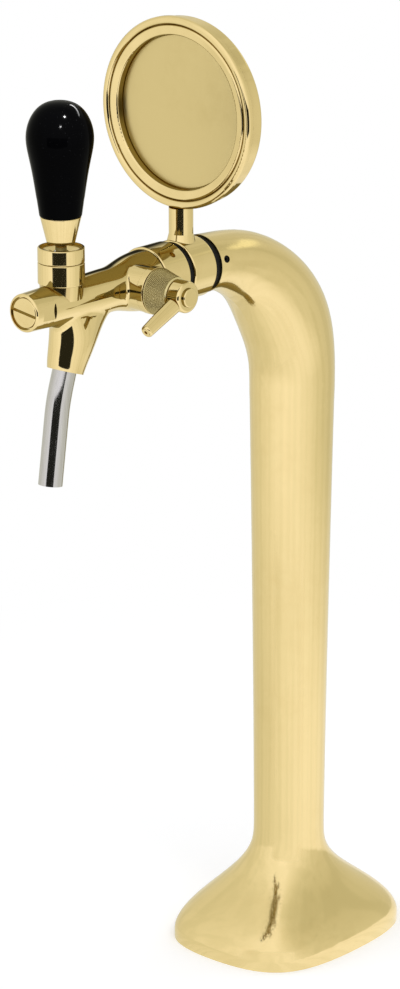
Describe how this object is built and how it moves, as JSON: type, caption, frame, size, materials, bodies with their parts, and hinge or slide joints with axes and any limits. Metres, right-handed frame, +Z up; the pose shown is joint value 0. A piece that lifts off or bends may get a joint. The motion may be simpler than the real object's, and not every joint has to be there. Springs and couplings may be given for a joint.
{
  "type": "beer tower dispenser",
  "caption": "Gooseneck beer tower with a flared base, a horizontal tap with pull handle and side compensator lever, a bent spout and a round badge medallion.",
  "frame": {"origin": "on the bar top, at the centre of the line passage, on the column's axis", "axes": "+Z up; -Y is the way the tap points; +X is the side with the compensator lever"},
  "size_m": [0.106, 0.2848, 0.555],
  "materials": {
    "polished_gold": "mirror-polished gold",
    "knurled_brass": "satin, fine knurl",
    "plain_brass": "machined",
    "stainless": "polished",
    "zinc_steel": "zinc plated",
    "black_rubber": "matt",
    "black_grip": "glossy black",
    "white_plastic": "natural white",
    "foam": "foamed in place"
  },
  "bodies": {
    "tower": {"column_shell": "polished_gold", "neck_set_screw": "stainless", "base_plate": "zinc_steel", "base_gasket": "black_rubber", "base_screws": "stainless", "beer_line": "white_plastic", "line_clip": "stainless", "coolant_loop": "stainless", "insulation_core": "foam", "shank": "plain_brass", "neck_seal": "black_rubber", "medallion_ring": "polished_gold", "ring_set_screw": "stainless", "medallion_stem": "polished_gold", "stem_screw": "stainless", "medallion_housing": "polished_gold", "medallion_bezel": "polished_gold", "badge_plate": "polished_gold", "coupling_seal": "black_rubber", "coupling_nut": "polished_gold", "tail_washer": "black_rubber", "tap_body": "polished_gold", "front_plug": "polished_gold", "plug_oring": "black_rubber", "ball_seat": "white_plastic", "bonnet_oring": "black_rubber", "bonnet_nut": "polished_gold", "spout_tube": "stainless", "spout_oring": "black_rubber", "metering_sleeve": "white_plastic", "compensator_gland": "polished_gold", "spindle_oring": "black_rubber"},
    "handle": {"lever": "stainless", "handle_ferrule": "polished_gold", "handle_grip": "black_grip", "grip_insert": "plain_brass"},
    "valve": {"valve_plunger": "stainless", "valve_washer": "black_rubber", "valve_nut": "plain_brass"},
    "compensator": {"compensator_spindle": "stainless", "compensator_knob": "knurled_brass", "lever_hub": "polished_gold", "lever_rod": "polished_gold", "hub_screw": "polished_gold"},
    "throttle": {"compensator_cone": "white_plastic"}
  },
  "joints": [
    {"name": "handle_tilt", "type": "hinge", "parent": "tower", "child": "handle", "pos_m": [0, -0.191, 0.44], "axis": [1, 0, 0], "range_deg": [0, 18]},
    {"name": "valve_slide", "type": "slide", "parent": "tower", "child": "valve", "axis": [0, 1, 0], "range_m": [0, 0.0072]},
    {"name": "compensator_turn", "type": "hinge", "parent": "tower", "child": "compensator", "pos_m": [0, -0.14, 0.4168], "axis": [1, 0, 0], "range_deg": [-45, 45]},
    {"name": "throttle_slide", "type": "slide", "parent": "tower", "child": "throttle", "axis": [0, 1, 0], "range_m": [-0.0018, 0.0018]}
  ],
  "couplings": [
    {"joint": "valve_slide", "follows": "handle_tilt", "m_per_rad": 0.02282},
    {"joint": "throttle_slide", "follows": "compensator_turn", "m_per_rad": -0.00225}
  ]
}
